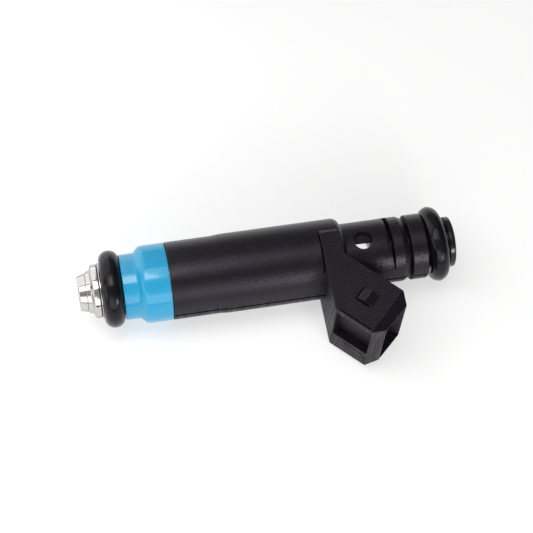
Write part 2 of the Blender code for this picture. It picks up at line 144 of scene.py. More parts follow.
def lathe(profile, ring=True, angles=160, shape=None):
    """Closed solid turned about Z from (radius, station) points."""
    if isinstance(angles, int):
        angles = even(angles)
    bm = bmesh.new()
    rings = []
    for r, u in profile:
        if r < 1e-6:
            rings.append([bm.verts.new((0, 0, u))])
        else:
            row = []
            for a in angles:
                rr = r + (shape(a, r, u) if shape else 0.0)
                row.append(bm.verts.new((rr * math.cos(a), rr * math.sin(a), u)))
            rings.append(row)
    pairs = list(zip(rings, rings[1:])) + ([(rings[-1], rings[0])] if ring else [])
    n = len(angles)
    for A, B in pairs:
        if len(A) == 1 and len(B) == 1:
            continue
        for i in range(n):
            j = (i + 1) % n
            if len(A) == 1:
                bm.faces.new((A[0], B[j], B[i]))
            elif len(B) == 1:
                bm.faces.new((A[i], A[j], B[0]))
            else:
                bm.faces.new((A[i], A[j], B[j], B[i]))
    bmesh.ops.recalc_face_normals(bm, faces=bm.faces)
    return bm


def prism(pts, to3, low, high):
    """Closed prism: a flat outline, carried by to3(x, y, depth) to the frame."""
    bm = bmesh.new()
    a = [bm.verts.new(to3(x, y, low)) for x, y in pts]
    b = [bm.verts.new(to3(x, y, high)) for x, y in pts]
    bm.faces.new(a)
    bm.faces.new(b)
    n = len(pts)
    for i in range(n):
        j = (i + 1) % n
        bm.faces.new((a[i], a[j], b[j], b[i]))
    bmesh.ops.recalc_face_normals(bm, faces=bm.faces)
    return bm


def side_view(u, p, y):
    return Vector((p, y, u))


def plan(x, y, z):
    return Vector((x, y, z))


def under(c, y, n):
    """Point at c along the connector, y sideways and n up out of its underside."""
    u, p = conn(c, n)
    return Vector((p, y, u))


def slice_off(bm, point, normal):
    """Cut away what lies beyond a plane and close the cut."""
    geom = bm.verts[:] + bm.edges[:] + bm.faces[:]
    bmesh.ops.bisect_plane(bm, geom=geom, dist=1e-5, plane_co=point, plane_no=normal,
                           clear_outer=True)
    open_edges = [e for e in bm.edges if e.is_boundary]
    if open_edges:
        bmesh.ops.holes_fill(bm, edges=open_edges, sides=0)
    bmesh.ops.recalc_face_normals(bm, faces=bm.faces)


def soften(bm, offset, segments=3, least=25.0, keep=None, hollow=False):
    """Round the hard outward edges; keep(edge) picks among them."""
    edges = []
    for e in bm.edges:
        if len(e.link_faces) != 2:
            continue
        a = math.degrees(e.calc_face_angle_signed(0.0))
        if (a > least or (hollow and a < -least)) and (keep is None or keep(e)):
            edges.append(e)
    bmesh.ops.bevel(bm, geom=edges, offset=offset, offset_type='OFFSET', segments=segments,
                    profile=0.5, affect='EDGES', clamp_overlap=True)
    return bm


def as_object(bm, name):
    me = bpy.data.meshes.new(name)
    bm.to_mesh(me)
    bm.free()
    ob = bpy.data.objects.new(name, me)
    bpy.context.scene.collection.objects.link(ob)
    return ob


def combine(bm, steps):
    """Apply Boolean steps [(how, bmesh)] to a bmesh, in order."""
    base = as_object(bm, "work_base")
    spare = []
    for i, (how, other) in enumerate(steps):
        ob = as_object(other, "work_%d" % i)
        spare.append(ob)
        m = base.modifiers.new("b%d" % i, 'BOOLEAN')
        m.operation = how
        m.object = ob
        m.solver = 'EXACT'
    bpy.context.view_layer.update()
    deps = bpy.context.evaluated_depsgraph_get()
    me = bpy.data.meshes.new_from_object(base.evaluated_get(deps))
    out = bmesh.new()
    out.from_mesh(me)
    bpy.data.meshes.remove(me)
    for ob in spare + [base]:
        old = ob.data
        bpy.data.objects.remove(ob, do_unlink=True)
        bpy.data.meshes.remove(old)
    bmesh.ops.remove_doubles(out, verts=out.verts, dist=1e-5)
    bmesh.ops.dissolve_degenerate(out, edges=out.edges, dist=1e-5)
    return out


def piece(bm, name, look, slot, *nodes, body="injector", sharp=32.0, weighted=False):
    """Finish a shape as a piece that stands for CAD nodes."""
    bmesh.ops.transform(bm, matrix=PLACE, verts=bm.verts)
    ob = as_object(bm, name)
    ob.data.shade_smooth()
    ob.data.set_sharp_from_angle(angle=math.radians(sharp))
    if weighted:
        w = ob.modifiers.new("Weighted", 'WEIGHTED_NORMAL')
        w.keep_sharp = True
        w.weight = 80
    ob.data.materials.append(look)
    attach(ob, body)
    if nodes:
        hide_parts(*nodes)
    return ob


# ---- materials --------------------------------------------------------------------
class Look:
    """A material being wired: short names for the nodes used here."""

    def __init__(self, name):
        self.m = bpy.data.materials.new(name)
        self.m.use_nodes = True
        self.t = self.m.node_tree
        self.b = self.t.nodes["Principled BSDF"]
        self.co = self.add("ShaderNodeTexCoord").outputs["Object"]

    def add(self, kind, **props):
        n = self.t.nodes.new(kind)
        for k, v in props.items():
            setattr(n, k, v)
        return n

    def link(self, a, b):
        self.t.links.new(a, b)

    def set(self, **vals):
        for k, v in vals.items():
            self.b.inputs[k.replace("_", " ")].default_value = v

    def stretch(self, x, y, z):
        n = self.add("ShaderNodeMapping")
        n.inputs["Scale"].default_value = (x, y, z)
        self.link(self.co, n.inputs["Vector"])
        return n.outputs["Vector"]

    def noise(self, scale, detail=2.0, rough=0.5, co=None, distort=0.0):
        n = self.add("ShaderNodeTexNoise")
        n.inputs["Scale"].default_value = scale
        n.inputs["Detail"].default_value = detail
        n.inputs["Roughness"].default_value = rough
        n.inputs["Distortion"].default_value = distort
        self.link(co or self.co, n.inputs["Vector"])
        return n.outputs["Fac"]

    def spots(self, scale, co=None, smooth=False):
        n = self.add("ShaderNodeTexVoronoi")
        n.inputs["Scale"].default_value = scale
        self.link(co or self.co, n.inputs["Vector"])
        return n.outputs["Distance"]

    def ramp(self, fac, *stops):
        n = self.add("ShaderNodeValToRGB")
        e = n.color_ramp.elements
        while len(e) < len(stops):
            e.new(0.5)
        for el, (pos, col) in zip(e, stops):
            el.position = pos
            el.color = (*col, 1.0) if hasattr(col, "__len__") else (col, col, col, 1.0)
        self.link(fac, n.inputs["Fac"])
        return n.outputs["Color"]

    def span(self, fac, a, b, lo=0.0, hi=1.0):
        n = self.add("ShaderNodeMapRange")
        n.inputs["From Min"].default_value = lo
        n.inputs["From Max"].default_value = hi
        n.inputs["To Min"].default_value = a
        n.inputs["To Max"].default_value = b
        self.link(fac, n.inputs["Value"])
        return n.outputs["Result"]

    def math(self, how, a, b):
        n = self.add("ShaderNodeMath", operation=how)
        for s, v in ((n.inputs[0], a), (n.inputs[1], b)):
            if isinstance(v, (int, float)):
                s.default_value = v
            else:
                self.link(v, s)
        return n.outputs["Value"]

    def mix(self, fac, a, b, how='MIX'):
        n = self.add("ShaderNodeMix", data_type='RGBA', blend_type=how)
        for s, v in ((n.inputs[0], fac), (n.inputs[6], a), (n.inputs[7], b)):
            if isinstance(v, (int, float)):
                s.default_value = v
            elif isinstance(v, tuple):
                s.default_value = (*v, 1.0)
            else:
                self.link(v, s)
        return n.outputs[2]

    def colour(self, out):
        self.link(out, self.b.inputs["Base Color"])

    def rough(self, out):
        self.link(out, self.b.inputs["Roughness"])

    def bump(self, height, strength, depth_mm):
        n = self.add("ShaderNodeBump")
        n.inputs["Strength"].default_value = strength
        n.inputs["Distance"].default_value = depth_mm * MM
        self.link(height, n.inputs["Height"])
        self.link(n.outputs["Normal"], self.b.inputs["Normal"])


def black_plastic():
    """Glass-filled moulded nylon: near black, fine fibre grain, soft shine."""
    k = Look("black_glass_filled_plastic")
    grain = k.noise(4200, 3.0, 0.65)
    blot = k.noise(260, 3.0, 0.55)
    fibre = k.noise(2600, 2.0, 0.6, k.stretch(0.35, 1.0, 1.0))
    tone = k.ramp(blot, (0.3, (0.0056, 0.0045, 0.0076)), (0.7, (0.0078, 0.0063, 0.0102)))
    fleck = k.ramp(fibre, (0.60, 0.0), (0.78, 1.0))
    k.colour(k.mix(fleck, tone, (0.018, 0.016, 0.021)))
    # faces along the mould's draw are scuffed by ejection and shine less
    geo = k.add("ShaderNodeNewGeometry")
    dot = k.add("ShaderNodeVectorMath", operation='DOT_PRODUCT')
    k.link(geo.outputs["Normal"], dot.inputs[0])
    dot.inputs[1].default_value = (0.0, sa, ca)
    drawn = k.span(k.math('ABSOLUTE', dot.outputs["Value"], 0.0), 1.0, 0.0, 0.12, 0.45)
    drag = k.noise(1500, 2.0, 0.6, k.stretch(1.0, 1.0, 0.07))
    scuff = k.math('MULTIPLY', drawn, k.span(drag, 0.18, 0.44, 0.3, 0.7))
    k.rough(k.math('ADD', k.span(grain, 0.16, 0.32, 0.3, 0.7), scuff))
    k.bump(k.math('ADD', grain, k.math('MULTIPLY', fibre, 0.6)), 0.7, 0.06)
    k.set(Specular_IOR_Level=0.31, Specular_Tint=(0.94, 0.89, 1.0, 1.0))
    return k.m


def blue_plastic():
    """Sky blue unfilled nylon, glossy, with faint flow marks."""
    k = Look("glossy_blue_plastic")
    flow = k.noise(190, 3.0, 0.5, k.stretch(0.4, 1.0, 1.0))
    k.colour(k.ramp(flow, (0.25, (0.0145, 0.300, 0.535)), (0.75, (0.020, 0.335, 0.582))))
    k.rough(k.span(k.noise(1800, 2.0), 0.09, 0.18, 0.2, 0.8))
    k.bump(k.math('ADD', k.noise(420, 2.0, 0.5), k.math('MULTIPLY', k.noise(1500, 2.0), 0.25)), 0.22, 0.05)
    k.set(Specular_IOR_Level=0.5, IOR=1.53)
    return k.m


def rubber():
    """Black moulded rubber with a dusty bloom."""
    k = Look("black_rubber")
    fine = k.noise(3600, 3.0, 0.6)
    bloom = k.noise(420, 3.0, 0.6)
    k.colour(k.ramp(bloom, (0.3, (0.0038, 0.0036, 0.0046)), (0.75, (0.0068, 0.0066, 0.0080))))
    k.rough(k.span(fine, 0.10, 0.17, 0.25, 0.75))
    k.bump(fine, 0.18, 0.02)
    k.set(Specular_IOR_Level=0.25, Specular_Tint=(0.94, 0.90, 1.0, 1.0))
    return k.m


def steel(name="turned_stainless", base=(0.655, 0.645, 0.627), lo=0.04, hi=0.09, ring=7000, depth=0.002):
    """Turned stainless steel: fine rings left by the tool."""
    k = Look(name)
    rings = k.noise(ring, 2.0, 0.6, k.stretch(1.0, 0.02, 0.02))
    cloud = k.noise(500, 3.0, 0.5)
    dim = tuple(0.86 * c for c in base)
    k.colour(k.ramp(cloud, (0.3, dim), (0.7, base)))
    k.rough(k.span(rings, lo, hi, 0.3, 0.7))
    k.bump(rings, 0.25, depth)
    k.set(Metallic=1.0, Specular_Tint=(0.70, 0.69, 0.68, 1.0))
    return k.m


def gloss_black():
    """Polished black plastic with handling scratches."""
    k = Look("gloss_black_plastic")
    fine = k.noise(2400, 2.0, 0.5)
    cloud = k.noise(400, 2.0)
    k.colour(k.ramp(cloud, (0.3, (0.0028, 0.0028, 0.0032)), (0.7, (0.0055, 0.0054, 0.0060))))
    k.rough(k.span(fine, 0.14, 0.24, 0.2, 0.8))
    k.bump(fine, 0.14, 0.02)
    k.set(Specular_IOR_Level=0.4)
    return k.m


def tinned():
    """Tin-plated brass terminal blade."""
    k = Look("tinned_brass")
    cloud = k.noise(900, 4.0, 0.6)
    k.colour(k.ramp(cloud, (0.3, (0.55, 0.52, 0.45)), (0.7, (0.72, 0.70, 0.65))))
    k.rough(k.span(k.noise(3000, 2.0, 0.5, k.stretch(1.0, 0.2, 0.2)), 0.2, 0.38, 0.3, 0.7))
    k.set(Metallic=1.0)
    return k.m


def nylon():
    """Undyed nylon: ivory, a little waxy."""
    k = Look("natural_nylon")
    k.colour(k.ramp(k.noise(300, 3.0), (0.3, (0.52, 0.47, 0.36)), (0.7, (0.62, 0.57, 0.45))))
    k.rough(k.span(k.noise(2500, 2.0), 0.38, 0.55, 0.3, 0.7))
    k.set(Subsurface_Weight=0.15, Subsurface_Scale=0.001)
    return k.m


def mesh_weave():
    """Woven nylon filter cloth: crossed threads."""
    k = Look("nylon_filter_cloth")
    a = k.add("ShaderNodeTexWave", wave_type='BANDS', bands_direction='X')
    a.inputs["Scale"].default_value = 1600
    k.link(k.co, a.inputs["Vector"])
    b = k.add("ShaderNodeTexWave", wave_type='BANDS', bands_direction='Y')
    b.inputs["Scale"].default_value = 1600
    k.link(k.co, b.inputs["Vector"])
    both = k.math('MAXIMUM', a.outputs["Fac"], b.outputs["Fac"])
    k.colour(k.ramp(both, (0.2, (0.20, 0.19, 0.15)), (0.8, (0.70, 0.67, 0.58))))
    k.rough(k.span(both, 0.75, 0.55))
    k.bump(both, 0.5, 0.03)
    return k.m


def iron():
    """Soft magnetic iron with a dull plated skin."""
    k = Look("soft_iron")
    k.colour(k.ramp(k.noise(420, 4.0, 0.6), (0.3, (0.33, 0.32, 0.31)), (0.7, (0.47, 0.46, 0.45))))
    k.rough(k.span(k.noise(2200, 3.0), 0.28, 0.46, 0.3, 0.7))
    k.set(Metallic=1.0)
    return k.m


def copper():
    """Lacquered copper wire, wound turn beside turn."""
    k = Look("copper_winding")
    w = k.add("ShaderNodeTexWave", wave_type='BANDS', bands_direction='X')
    w.inputs["Scale"].default_value = 1500
    k.link(k.co, w.inputs["Vector"])
    k.colour(k.ramp(w.outputs["Fac"], (0.0, (0.30, 0.09, 0.03)), (0.7, (0.68, 0.27, 0.10))))
    k.rough(k.span(w.outputs["Fac"], 0.45, 0.25))
    k.bump(w.outputs["Fac"], 0.6, 0.05)
    k.set(Metallic=1.0)
    return k.m


BLACK = black_plastic()
BLUE = blue_plastic()
RUBBER = rubber()
STEEL = steel()
STEEL_TUBE = steel("drawn_stainless_tube", (0.60, 0.595, 0.58), 0.05, 0.12, 5200, 0.002)
STEEL_DULL = steel("ground_stainless", (0.66, 0.655, 0.64), 0.22, 0.36, 6000, 0.006)
GLOSS = gloss_black()
TIN = tinned()
NYLON = nylon()
WEAVE = mesh_weave()
IRON = iron()
COPPER = copper()

# ---- moulded body and connector -----------------------------------------------------
# a mould parting line runs along the body on the connector side and opposite it
seam_w = math.radians(1.75)
seam = [b + s * seam_w * f for b in (0.0, pi) for s in (-1, 1) for f in (0.0, 0.5, 0.97, 1.06, 1.4)]


def parting(a, r, u):
    """Shallow line where the two mould halves meet."""
    d = min(abs(math.remainder(a, 2 * pi)), abs(math.remainder(a - pi, 2 * pi))) / seam_w
    return 0.0 if r < 6.0 or d > 1.0 or u < BODY + 0.1 else -0.3


body_line = fillet([
    (0.0, SHAFT_END + 1.05), (3.9, SHAFT_END + 1.05, 0.1), (4.75, SHAFT_END + 0.3), (4.75, SHAFT_END), (SHAFT_R, SHAFT_END, 0.3),
    (SHAFT_R, 61.87, 0.12), (4.3, 61.80, 0.1), (4.3, 61.40, 0.1), (5.62, 61.32, 0.14),
    (SHAFT_R, 60.30, 0.5), (SHAFT_R, SHOULDER_END + 0.04, 0.28),
    (SHAFT_R + 0.3, SHOULDER_END)], ring=False, n=5)[:-1]
body_line += [(SHAFT_R + 0.02 + (BODY_R2 - SHAFT_R - 0.02) * math.cos(math.radians(a)),
               SHOULDER + (SHOULDER_END - SHOULDER) * math.sin(math.radians(a))) for a in range(78, -1, -6)]
body_line += fillet([
    (BODY_R2, 47.5), (BODY_R2, 45.0), (BODY_R2, 36.0), (BODY_R2, 27.0), (BODY_R1, 25.5),
    (BODY_R1, BODY, 0.16), (BODY_R1 - 0.6, BODY), (0.0, BODY)], ring=False, n=4)
body = lathe(body_line, False, even(168, seam), parting)

neck = prism([(NECK_BACK, NECK_TOP - 0.45), (48.2, NECK_TOP - 0.45), (48.5, NECK_TOP + 0.25), (48.76, 2.86),
              conn(MOUTH + 0.36, -CONN_HIGH), conn(MOUTH - 0.08, 0.0), conn(0.0, 0.0)],
             side_view, -CONN_HALF, CONN_HALF)


def sloped(c0, n0, c1, n1, y0, y1, outward):
    """Plane through a line on the connector, given at two corners."""
    a, b = under(c0, y0, n0), under(c1, y1, n1)
    along = Vector((0, 1, 0)) if n0 != n1 else under(0, 0, 1) - under(0, 0, 0)
    no = (b - a).cross(along).normalized()
    if no.dot(outward) < 0:
        no = -no
    return a, no


up_n = under(0, 0, 1) - under(0, 0, 0)
slice_off(neck, *sloped(CONN_LEN, 0.0, MOUTH, -RIM_BOTTOM, 0, 0, up_n))
slice_off(neck, *sloped(CONN_LEN, -CONN_HIGH, MOUTH, -CONN_HIGH + RIM_TOP, 0, 0, -up_n))
for sd in (-1, 1):
    # the side plates slope down to the body at their upper end
    slice_off(neck, Vector((NECK_TOP + 0.38, sd * CONN_HALF, 47.0)), Vector((-0.545, sd * 0.839, 0.0)).normalized())
    slice_off(neck, *sloped(CONN_LEN - 0.15, -1.0, MOUTH, -1.0, sd * CONN_HALF,
                            sd * (CONN_HALF - RIM_SIDE), Vector((0, sd, 0))))


def along_of(v):
    """How far along the connector a point lies."""
    return (Vector((v.z, v.x)) - K).dot(C)


top, low = -CONN_HIGH + RIM_TOP + RIM_WALL, -RIM_BOTTOM - RIM_WALL
half = CONN_HALF - RIM_SIDE - RIM_WALL
flare = 0.73
socket_line = fillet([(-half, top + flare, 0.7), (half, top + flare, 0.7), (half, low, 0.9), (-half, low, 0.9)], n=4)
socket = prism(socket_line, lambda y, n, c: under(c, y, n), SOCKET_BACK, MOUTH + 1.5)
# the wall on the rail side flares towards the mouth
lead_in = prism([(MOUTH + 1.5, top - 0.45), (MOUTH + 1.5, top + 2.5), (MOUTH - 1.75, top + 2.5), (MOUTH - 1.75, top + flare)],
                lambda c, n, y: under(c, y, n), -half + 0.25, half - 0.25)
pocket = prism(fillet([(0.26, -6.2, 0.15), (7.7, -6.2, 0.15), (7.7, 2.5, 0.4), (0.26, 2.5, 0.7)], n=4),
               lambda c, y, n: under(c, y, n), -1.7, 1.5)
pocket_step = prism([(0.3, -6.36), (7.66, -6.36), (7.66, -6.1), (0.3, -6.1)], lambda c, y, n: under(c, y, n), -0.16, 0.5)
line_cut = prism(fillet([(2.6, 3.45, 0.1), (6.9, 3.45, 0.1), (6.9, 3.72, 0.1), (2.6, 3.72, 0.1)], n=2),
                 lambda c, y, n: under(c, y, n), -0.16, 0.5)
pin_mark = prism([(7.2 + 0.5 * math.cos(2 * pi * i / 24), 4.4 + 0.5 * math.sin(2 * pi * i / 24))
                  for i in range(24)], lambda c, y, n: under(c, y, n), -0.07, 0.5)

soften(neck, 0.2, 3, keep=lambda e: min(along_of(v.co) for v in e.verts) < MOUTH - 0.2)
neck = combine(neck, [('DIFFERENCE', socket), ('DIFFERENCE', lead_in), ('DIFFERENCE', pocket), ('DIFFERENCE', pocket_step), ('DIFFERENCE', line_cut),
                      ('DIFFERENCE', pin_mark)])

lugs, creases = [], []
sink = 0.3
for sd in (-1, 1):
    up_s, down_s = (LUG_RIDGE - LUG_START) / LUG_H, (LUG_END - LUG_RIDGE) / LUG_H
    lug = prism([(LUG_START - sink * up_s, sd * (CONN_HALF - sink)),
                 (LUG_RIDGE, sd * (CONN_HALF + LUG_H)),
                 (LUG_END + sink * down_s, sd * (CONN_HALF - sink))],
                lambda c, y, n: under(c, y, n), LUG_MID - LUG_W / 2, LUG_MID + LUG_W / 2)
    soften(lug, 0.05, 2)
    lugs.append(lug)
    # fine witness line where the lug's ramp meets the plate
    face = CONN_HALF + 0.05
    creases.append(prism([(LUG_START - 0.24, sd * face), (LUG_START + 0.04, sd * face), (LUG_START - 0.10, sd * (face - 0.5))],
                         lambda c, y, n: under(c, y, n), LUG_MID - LUG_W / 2, LUG_MID + LUG_W / 2 + 0.2))
    edge = LUG_MID + LUG_W / 2
    creases.append(prism([(edge - 0.02, sd * face), (edge + 0.34, sd * face), (edge + 0.10, sd * (face - 0.6))],
                         lambda n, y, c: under(c, y, n), LUG_START - 0.1, LUG_END - 0.45))
    # and one along the plate's lower edge
    creases.append(prism([(-0.52, sd * face), (-0.24, sd * face), (-0.38, sd * (face - 0.42))],
                         lambda n, y, c: under(c, y, n), 0.7, 7.2))

core = lathe([(0.0, SHAFT_END + 2), (3.56, SHAFT_END + 2), (3.56, 55.3), (4.85, 55.3), (4.85, 50.6), (3.56, 50.6),
              (3.56, 36.6), (6.37, 36.6),
              (6.37, BODY - 2), (0.0, BODY - 2)], False, 96)


def sweep(line, a0, a1, n=40):
    """Part-turn cutter: a closed (radius, station) outline, or one for each angle, carried from one angle to another."""
    bm = bmesh.new()
    rows = []
    for i in range(n + 1):
        a = a0 + (a1 - a0) * i / n
        rows.append([bm.verts.new((r * math.cos(a), r * math.sin(a), u)) for r, u in (line(a) if callable(line) else line)])
    m = len(rows[0])
    for A, B in zip(rows, rows[1:]):
        for k in range(m):
            bm.faces.new((A[k], A[(k + 1) % m], B[(k + 1) % m], B[k]))
    bm.faces.new(rows[0])
    bm.faces.new(rows[-1])
    bmesh.ops.recalc_face_normals(bm, faces=bm.faces)
    return bm


def clip_slot(sd):
    """Slot for a retaining clip: a ramp on the nozzle side, a square wall on the other, narrow at the connector's end."""
    span = math.radians(63.0)

    def line(a):
        off = -sd * (a - sd * pi / 2)
        wall = 58.44 - 0.70 * min(1.0, max(0.15, (math.radians(71.0) - off) / math.radians(56.0)))
        return [(9.0, 56.9), (SHAFT_R + 0.01, 57.0), (5.97, wall - 0.08), (4.1, wall), (4.1, 58.44), (9.0, 58.50)]

    return sweep(line, sd * pi / 2 - span, sd * pi / 2 + span)


def neck_line(sd):
    """Fine crease in the body along the nozzle side of the connector's neck."""
    at = NECK_BACK - 0.06
    return sweep([(8.2, at - 0.26), (BODY_R2 + 0.01, at - 0.26), (BODY_R2 - 0.55, at - 0.08), (BODY_R2 + 0.01, at + 0.06),
                  (8.2, at + 0.06)], sd * math.radians(44.0), sd * math.radians(106.0))


def side_hole(sd):
    """Round hole with a shelf in its upper part; below the shelf it opens onto the fuel tube. The shelf is a dark
    plastic ledge that stands in for the shade in the hole's upper half.
    """
    n = 40
    rim = [(HOLE_P + HOLE_R * math.cos(2 * pi * (i + 0.35) / n), HOLE_U + HOLE_R * math.sin(2 * pi * (i + 0.35) / n))
           for i in range(n)]
    a0 = math.acos(HOLE_SHELF / HOLE_R)
    part = [(HOLE_P + (HOLE_R - 0.01) * math.cos(-a0 + 2 * a0 * i / 24), HOLE_U + (HOLE_R - 0.01) * math.sin(-a0 + 2 * a0 * i / 24))
            for i in range(25)]
    at = lambda p, u, y: Vector((p, sd * y, u))
    return [prism(rim, at, 5.05, 9.0), prism(part, at, 0.5, 6.0)]


# terminals: a lead beside the coil, two bends and a blade in the socket
pin_n, lead_p, rise_u = 0.5 * (top + low), 4.8, 46.1
line_at, blade_tip = Vector(conn(0.0, pin_n)), Vector(conn(4.5, pin_n))
foot = line_at + C * ((rise_u - line_at.x) / C.x)


def strip(half_t, start, over):
    way = [Vector((start, lead_p)), Vector((rise_u, lead_p)), foot, blade_tip + C * over]
    heads = [(b - a).normalized() for a, b in zip(way, way[1:])]
    left, right = [], []
    for i, p in enumerate(way):
        d0, d1 = heads[max(i - 1, 0)], heads[min(i, len(heads) - 1)]
        n0, n1 = Vector((-d0.y, d0.x)), Vector((-d1.y, d1.x))
        mitre = (n0 + n1) * (half_t / (1.0 + n0.dot(n1)))
        left.append(tuple(p + mitre))
        right.append(tuple(p - mitre))
    return right + left[::-1]


channels = [prism(strip(0.5, 34.0, 0.5), side_view, sd * 2.5 - 1.5, sd * 2.5 + 1.5) for sd in (-1, 1)]

body = combine(body, [('UNION', neck)] + [('UNION', g) for g in lugs]
               + [('DIFFERENCE', x) for x in [core] + channels + creases
                  + [clip_slot(-1), clip_slot(1), neck_line(-1), neck_line(1)] + side_hole(-1) + side_hole(1)])
piece(body, "moulded_body", BLACK, "black_plastic", "overmold_body", sharp=19, weighted=True)

for sd, tag in ((-1, "near"), (1, "far")):
    blade = prism(strip(0.4, 34.3, 0.0), side_view, sd * 2.5 - 1.4, sd * 2.5 + 1.4)
    soften(blade, 0.14, 2)
    piece(blade, "blade_" + tag, TIN, "tinned_brass", "terminal_" + tag)

# ---- collar, O-rings, washer ------------------------------------------------------------
sleeve_line = fillet([(6.37, 16.6), (7.22, 16.6, 0.16), (7.22, 14.2), (7.22, 13.0), (7.22, 11.85, 1.3),
                      (6.07, 10.75, 0.45), (6.07, 9.4), (6.07, 8.04, 0.16), (3.48, 8.04, 0.05), (3.48, 8.32),
                      (4.6, 8.32), (4.6, 12.5),
                      (6.37, 12.5)], False, 8)
piece(lathe(sleeve_line, True, 176), "blue_collar", BLUE, "blue_plastic", "nozzle_sleeve")

for tag, at in (("lower", O_LOW), ("upper", O_HIGH)):
    w = O_WIRE / 2
    over = O_R + (0.1 if tag == "lower" else 0.0)
    wide = 1.09 if tag == "lower" else 1.0
    loop = [(r, at + (u - at) * wide) for r, u in arc(over - w, at, w, 4, 356, 46)]
    # a fine flash line left by the mould round the outside
    loop += [(over - w + w * math.cos(math.radians(358)), at - w * math.sin(math.radians(2))),
             (over + 0.06, at - 0.035), (over + 0.06, at + 0.035),
             (over - w + w * math.cos(math.radians(2)), at + w * math.sin(math.radians(2)))]
    ring = lathe(loop, True, 176)
    # both sit a little askew on their seats
    lean, tip, push = (1.1, 0.0, 0.11) if tag == "lower" else (-2.8, 2.2, 0.0)
    bmesh.ops.rotate(ring, cent=(0, 0, at), matrix=Matrix.Rotation(math.radians(lean), 3, 'Y'), verts=ring.verts)
    bmesh.ops.rotate(ring, cent=(0, 0, at), matrix=Matrix.Rotation(math.radians(tip), 3, 'X'), verts=ring.verts)
    bmesh.ops.translate(ring, vec=(0, 0, push), verts=ring.verts)
    piece(ring, tag + "_ring", RUBBER, "rubber", tag + "_o_ring", sharp=40)

piece(lathe(fillet([(3.52, 3.91, 0.05), (5.2, 3.91, 0.08), (5.2, 4.14, 0.1), (3.52, 4.14, 0.05)], n=3), True, 160),
      "ring_washer", STEEL, "stainless", "o_ring_washer")
# thin black rubber ring on the washer's face, against the flange: painted shade, a dark sheet filling a gap that is
# only shaded
piece(lathe(fillet([(3.52, 3.74), (4.9, 3.74, 0.03), (4.9, 3.89, 0.03), (3.52, 3.89)], n=3), True, 160),
      "washer_gap_shade", RUBBER, "rubber", "o_ring_washer")

# ---- nozzle -----------------------------------------------------------------------------
nozzle_line = [(4.42, 20.6), (4.42, 8.36)]
nozzle_line += fillet([(4.42, 8.36, 0.05), (3.42, 8.36, 0.1), (3.42, 3.72, 0.08), (4.97, 3.72, 0.10),
                       (4.97, 2.70, 0.3), (3.95, 2.28, 0.36), (3.78, 1.54, 0.1),
                       (3.6, 1.50, 0.04), (3.44, 1.50, 0.03), (3.44, 1.43, 0.03), (3.55, 1.38, 0.05),
                       (3.2, -0.05, 0.36), (2.2, -0.05, 0.12), (2.2, 14.2, 0.1), (3.07, 14.6, 0.1),
                       (3.07, 20.6, 0.05)], False, 5)[1:]
nozzle_line += [(3.07, 20.6)]
piece(lathe(nozzle_line, True, 160), "nozzle_body", STEEL, "stainless", "valve_body")
piece(lathe(fillet([(1.2, 0.2, 0.1), (2.1, 0.2, 0.12), (2.1, 0.65, 0.08), (1.2, 0.65, 0.08)], n=3), True, 96),
      "nozzle_backup_ring", STEEL_DULL, "stainless", "backup_ring")

# ---- rail end ---------------------------------------------------------------------------
cap_line = fillet([(3.02, 70.38, 0.22), (4.75, 70.38, 0.26), (4.75, 69.28, 0.08), (4.0, 69.28), (4.0, 68.53, 0.05),
                   (3.55, 68.53, 0.05), (3.55, 69.08), (3.02, 69.08, 0.05)], n=6)
piece(lathe(cap_line, True, 144), "rail_cap", GLOSS, "gloss_black_plastic", "filter_cap")
tube_line = fillet([(3.1, 68.7, 0.12), (3.45, 68.7, 0.12), (3.45, 55.2, 0.1), (4.75, 55.2, 0.2), (4.75, 50.7, 0.2),
                    (3.45, 50.7, 0.1), (3.45, 21.1, 0.1), (1.75, 21.1, 0.1), (1.75, 47.6, 0.3),
                    (3.1, 48.4, 0.3)], n=3)
piece(lathe(tube_line, True, 112), "fuel_tube", STEEL_TUBE, "stainless", "inlet_tube")
cage = lathe(fillet([(0.0, 50.9), (2.55, 50.9, 0.15), (2.55, 62.0, 0.1), (2.98, 62.0, 0.1), (2.98, 50.0, 0.3),
                     (0.0, 50.0)], False, 3), False, 72)
windows = []
for k in range(2):
    a = math.radians(90 * k)
    windows.append(prism([(x * math.cos(a) - y * math.sin(a), x * math.sin(a) + y * math.cos(a))
                          for x, y in ((-1.25, -4), (1.25, -4), (1.25, 4), (-1.25, 4))], plan, 52.2, 60.2))
piece(combine(cage, [('DIFFERENCE', w) for w in windows]), "filter_cage", NYLON, "natural_nylon", "filter_frame")
piece(lathe(fillet([(2.32, 51.2), (2.46, 51.2), (2.46, 61.4), (2.32, 61.4)], n=1), True, 96),
      "filter_cloth", WEAVE, "nylon_mesh", "filter_mesh")

# ---- return spring: closed ends; in the real injector it is squeezed as the needle lifts ---
turns, per_turn, coil_r, wire = 9, 36, 1.32, 0.2
low_u, high_u = 18.8 + wire + 0.06, 34.2 - wire - 0.06
spine = []
for i in range(turns * per_turn + 1):
    t = i / (turns * per_turn)
    dead = 1.2 / turns
    lift = min(max((t - dead) / (1 - 2 * dead), 0.0), 1.0)
    end_rise = 2.2 * wire
    rise = (end_rise * min(t, dead) / dead + (high_u - low_u - 2 * end_rise) * lift
            + end_rise * max(t - 1 + dead, 0.0) / dead)
    a = 2 * pi * turns * t
    spine.append(Vector((coil_r * math.cos(a), coil_r * math.sin(a), low_u + rise)))
bm = bmesh.new()
loops = []
for i, p in enumerate(spine):
    d = (spine[min(i + 1, len(spine) - 1)] - spine[max(i - 1, 0)]).normalized()
    out = Vector((p.x, p.y, 0)).normalized()
    out = (out - d * out.dot(d)).normalized()
    side = d.cross(out)
    loops.append([bm.verts.new(p + (out * math.cos(2 * pi * k / 10) + side * math.sin(2 * pi * k / 10)) * wire)
                  for k in range(10)])
for A, B in zip(loops, loops[1:]):
    for k in range(10):
        bm.faces.new((A[k], A[(k + 1) % 10], B[(k + 1) % 10], B[k]))
bm.faces.new(loops[0])
bm.faces.new(loops[-1])
